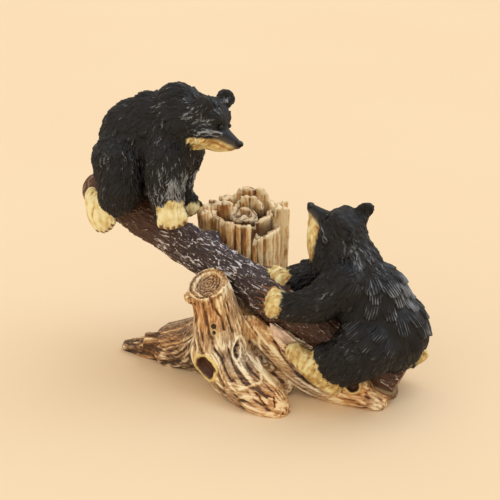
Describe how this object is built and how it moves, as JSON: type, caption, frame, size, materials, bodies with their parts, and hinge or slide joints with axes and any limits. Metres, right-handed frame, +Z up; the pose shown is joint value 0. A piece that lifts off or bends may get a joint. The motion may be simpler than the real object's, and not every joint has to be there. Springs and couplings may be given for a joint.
{
  "type": "figurine",
  "caption": "Cast resin figurine of black bear cubs on a log laid as a seesaw over sawn driftwood, with a splintered stump behind.",
  "frame": {"origin": "middle of the bounding box at the underside that the figurine stands on", "axes": "+X along the log towards its lower end, +Y towards the tall stump at the back, +Z up"},
  "size_m": [0.2152, 0.1036, 0.1791],
  "materials": {
    "painted_resin": "hand-painted, satin to matt"
  },
  "bodies": {
    "root": {"bears_on_seesaw": "painted_resin"}
  },
  "joints": []
}
